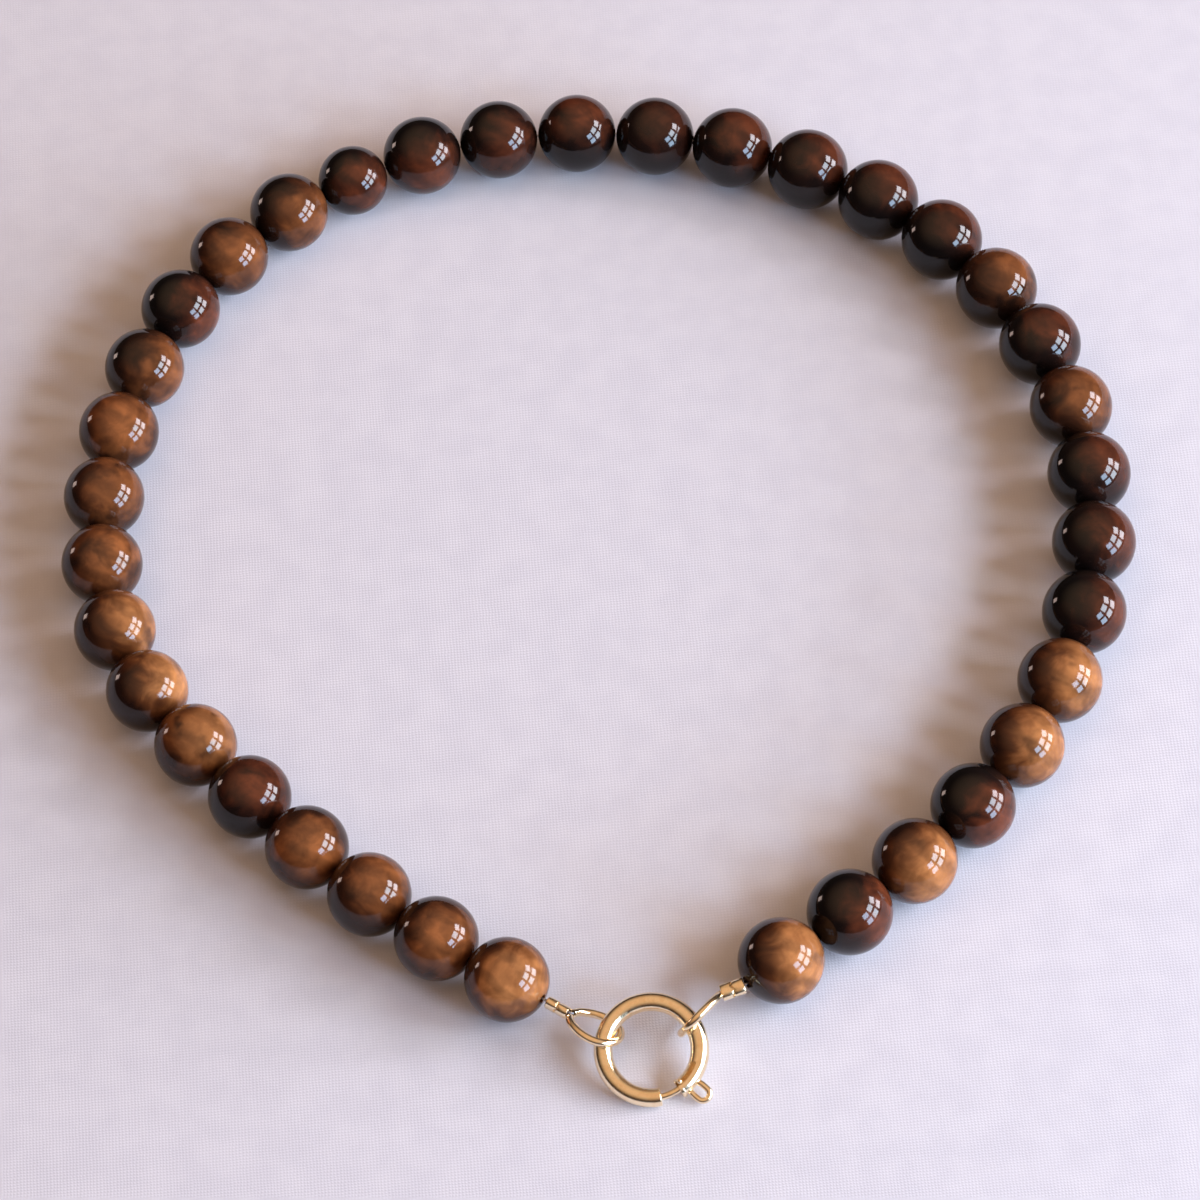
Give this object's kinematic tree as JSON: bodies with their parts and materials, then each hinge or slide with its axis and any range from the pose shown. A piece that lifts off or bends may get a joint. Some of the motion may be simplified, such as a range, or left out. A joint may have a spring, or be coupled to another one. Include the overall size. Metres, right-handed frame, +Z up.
{
  "type": "beaded necklace",
  "caption": "Closed string of round polished brown stone beads on a fine wire, joined by a gold-coloured spring ring clasp, lying flat.",
  "frame": {"origin": "middle of the necklace's outline seen from above, on the surface that it lies on", "axes": "+Z up from the surface, +Y from the clasp across the loop to the beads opposite, +X to the right"},
  "size_m": [0.1302, 0.1454, 0.0102],
  "materials": {
    "stone_light": "polished",
    "stone_mid": "polished",
    "stone_dark": "polished",
    "gold_filled": "polished",
    "steel_wire": "satin"
  },
  "bodies": {
    "necklace": {"bead_01": "stone_light", "bead_02": "stone_mid", "bead_03": "stone_mid", "bead_04": "stone_mid", "bead_05": "stone_dark", "bead_06": "stone_light", "bead_07": "stone_light", "bead_08": "stone_light", "bead_09": "stone_mid", "bead_10": "stone_mid", "bead_11": "stone_mid", "bead_12": "stone_mid", "bead_13": "stone_dark", "bead_14": "stone_mid", "bead_15": "stone_mid", "bead_16": "stone_dark", "bead_17": "stone_dark", "bead_18": "stone_dark", "bead_19": "stone_dark", "bead_20": "stone_dark", "bead_21": "stone_dark", "bead_22": "stone_dark", "bead_23": "stone_dark", "bead_24": "stone_dark", "bead_25": "stone_mid", "bead_26": "stone_dark", "bead_27": "stone_mid", "bead_28": "stone_dark", "bead_29": "stone_dark", "bead_30": "stone_dark", "bead_31": "stone_light", "bead_32": "stone_light", "bead_33": "stone_dark", "bead_34": "stone_light", "bead_35": "stone_dark", "bead_36": "stone_light", "beading_wire": "steel_wire", "crimp_left": "gold_filled", "crimp_right": "gold_filled", "wire_guard_left": "gold_filled", "wire_guard_right": "gold_filled", "clasp_ring": "gold_filled"},
    "latch": {"clasp_tongue": "gold_filled"}
  },
  "joints": [
    {"name": "latch_slide", "type": "hinge", "parent": "necklace", "child": "latch", "pos_m": [0.00078, -0.06628, 0.0031], "axis": [0, -0.3665, 0.9304], "range_deg": [0, 30.5], "stiffness_Nm_per_rad": 0.002, "springref_deg": -28.65}
  ]
}
